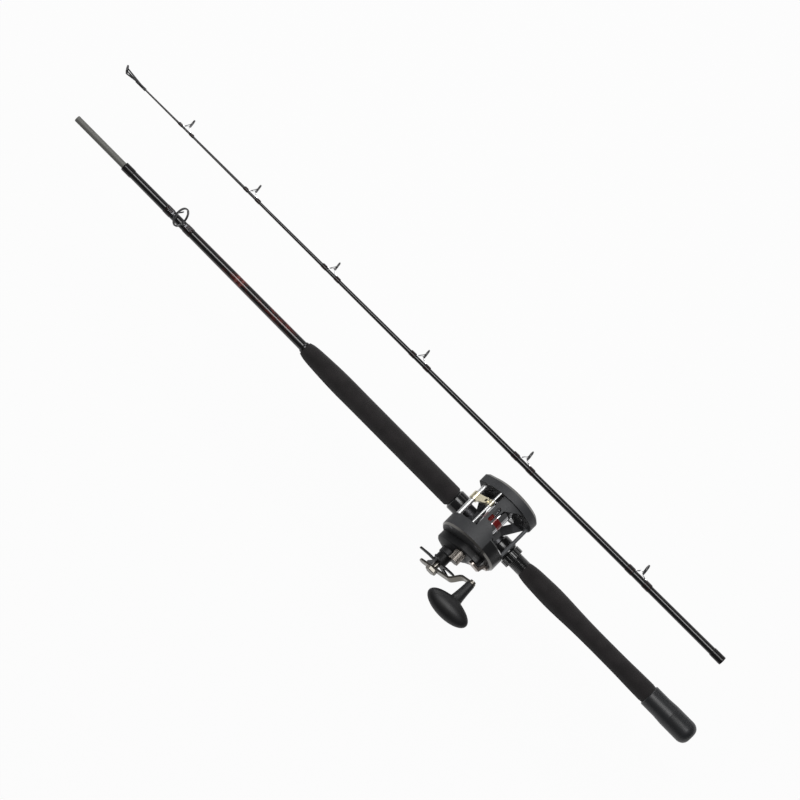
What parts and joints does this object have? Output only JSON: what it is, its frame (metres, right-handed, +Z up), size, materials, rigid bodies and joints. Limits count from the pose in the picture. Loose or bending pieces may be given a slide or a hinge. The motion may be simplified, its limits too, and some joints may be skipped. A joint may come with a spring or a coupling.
{
  "type": "fishing rod and reel",
  "caption": "Two-piece boat fishing rod taken apart, with foam grips, ringed guides and a star-drag level-wind reel clamped in its seat.",
  "frame": {"origin": "centre of the butt cap's flat end", "axes": "+X along the butt section towards its spigot, +Z up on the reel's side, +Y towards the reel's handle"},
  "size_m": [1.1331, 0.2634, 0.1089],
  "materials": {
    "blank": "gloss",
    "spigot": "satin",
    "foam": "matte",
    "cap_rubber": "matte",
    "seat": "satin",
    "thread": "gloss",
    "check": "satin",
    "guide_wire": "satin",
    "guide_lining": "gloss",
    "frame": "satin",
    "plate": "matte",
    "steel": "satin",
    "bright": "polished",
    "spool": "gloss",
    "brass": "satin",
    "washer": "matte",
    "star": "satin",
    "knob_rubber": "matte",
    "line_guide": "gloss",
    "cast_cap": "satin",
    "nylon": "satin"
  },
  "bodies": {
    "butt_section": {"butt_blank": "blank", "ferrule_spigot": "spigot", "butt_cap": "cap_rubber", "rear_grip": "foam", "fore_grip": "foam", "winding_check": "check", "reel_seat": "seat", "butt_guide_frame": "guide_wire", "butt_guide_ring": "guide_lining", "butt_wraps": "thread", "reel_foot": "steel", "foot_screws": "steel", "reel_frame": "frame", "tail_plate": "plate", "gear_plate": "plate", "bridge_plate": "steel", "gear_cover": "plate", "plate_screws": "steel", "worm_shield": "bright", "worm_bushes": "brass", "guide_bar": "bright", "spool_bearings": "steel", "one_way_clutch": "steel", "idler_pin": "steel"},
    "spool": {"spool": "spool", "spool_shaft": "steel", "click_ratchet": "steel", "level_wind_drive_gear": "nylon"},
    "crank": {"gear_sleeve": "steel", "main_gear": "brass", "drag_washers": "washer", "handle_arm": "steel", "handle_nut": "steel", "knob_spindle": "steel"},
    "star": {"star_wheel": "star"},
    "knob": {"handle_knob": "knob_rubber"},
    "yoke": {"clutch_yoke": "steel"},
    "pinion": {"pinion_gear": "brass"},
    "idler": {"idler_gear": "nylon"},
    "worm": {"worm_shaft": "steel", "worm_gear": "nylon"},
    "carriage": {"line_guide": "line_guide", "level_wind_pawl": "bright", "pawl_cap": "bright"},
    "lever": {"free_spool_lever": "bright"},
    "clicker": {"clicker_button": "nylon"},
    "cast_control": {"cast_control_cap": "cast_cap"},
    "hood": {"sliding_hood": "seat"},
    "nut": {"lock_nut": "seat"},
    "tip": {"tip_blank": "blank", "tip_wraps": "thread", "tip_top_frame": "guide_wire", "tip_guide_rings": "guide_lining", "guide_1_frame": "guide_wire", "guide_2_frame": "guide_wire", "guide_3_frame": "guide_wire", "guide_4_frame": "guide_wire", "guide_5_frame": "guide_wire", "guide_6_frame": "guide_wire"}
  },
  "joints": [
    {"name": "crank_turn", "type": "hinge", "parent": "butt_section", "child": "crank", "pos_m": [0.39209, 0, 0.02919], "axis": [0, 1, 0], "continuous": true},
    {"name": "star_turn", "type": "hinge", "parent": "crank", "child": "star", "pos_m": [0.39209, 0, 0.02919], "axis": [0, 1, 0], "range_deg": [-270, 270]},
    {"name": "knob_spin", "type": "hinge", "parent": "crank", "child": "knob", "pos_m": [0.34468, 0.09, 0.06758], "axis": [0, 1, 0], "continuous": true},
    {"name": "spool_spin", "type": "hinge", "parent": "butt_section", "child": "spool", "pos_m": [0.381, 0, 0.0492], "axis": [0, 1, 0], "continuous": true},
    {"name": "idler_spin", "type": "hinge", "parent": "butt_section", "child": "idler", "pos_m": [0.39845, 0, 0.0515], "axis": [0, 1, 0], "continuous": true},
    {"name": "worm_spin", "type": "hinge", "parent": "butt_section", "child": "worm", "pos_m": [0.41907, 0, 0.05421], "axis": [0, 1, 0], "continuous": true},
    {"name": "lever_lift", "type": "hinge", "parent": "butt_section", "child": "lever", "pos_m": [0.361, 0.0586, 0.0552], "axis": [0, 1, 0], "range_deg": [0, 40]},
    {"name": "yoke_slide", "type": "slide", "parent": "butt_section", "child": "yoke", "axis": [0, 1, 0], "range_m": [0, 0.002]},
    {"name": "pinion_spin", "type": "hinge", "parent": "yoke", "child": "pinion", "pos_m": [0.381, 0, 0.0492], "axis": [0, 1, 0], "continuous": true},
    {"name": "carriage_slide", "type": "slide", "parent": "butt_section", "child": "carriage", "axis": [0, 1, 0], "range_m": [-0.012, 0.028]},
    {"name": "clicker_slide", "type": "slide", "parent": "butt_section", "child": "clicker", "axis": [0.866, 0, 0.5], "range_m": [0, 0.005]},
    {"name": "cast_control_turn", "type": "hinge", "parent": "butt_section", "child": "cast_control", "pos_m": [0.381, 0, 0.0492], "axis": [0, 1, 0], "range_deg": [-180, 180]},
    {"name": "hood_slide", "type": "slide", "parent": "butt_section", "child": "hood", "axis": [-1, 0, 0], "range_m": [0, 0.01]},
    {"name": "nut_turn", "type": "hinge", "parent": "hood", "child": "nut", "pos_m": [0.33, 0, 0], "axis": [-1, 0, 0], "range_deg": [0, 1800]},
    {"name": "tip_lift", "type": "slide", "parent": "butt_section", "child": "tip", "axis": [0, 0, 1], "range_m": [0, 0.2]}
  ],
  "couplings": [
    {"joint": "spool_spin", "follows": "crank_turn", "ratio": -4.5455},
    {"joint": "pinion_spin", "follows": "crank_turn", "ratio": -4.5455},
    {"joint": "idler_spin", "follows": "crank_turn", "ratio": 1.7045},
    {"joint": "worm_spin", "follows": "crank_turn", "ratio": -2.7273},
    {"joint": "yoke_slide", "follows": "lever_lift", "m_per_rad": 0.002864},
    {"joint": "hood_slide", "follows": "nut_turn", "m_per_rad": 0.00031828}
  ]
}
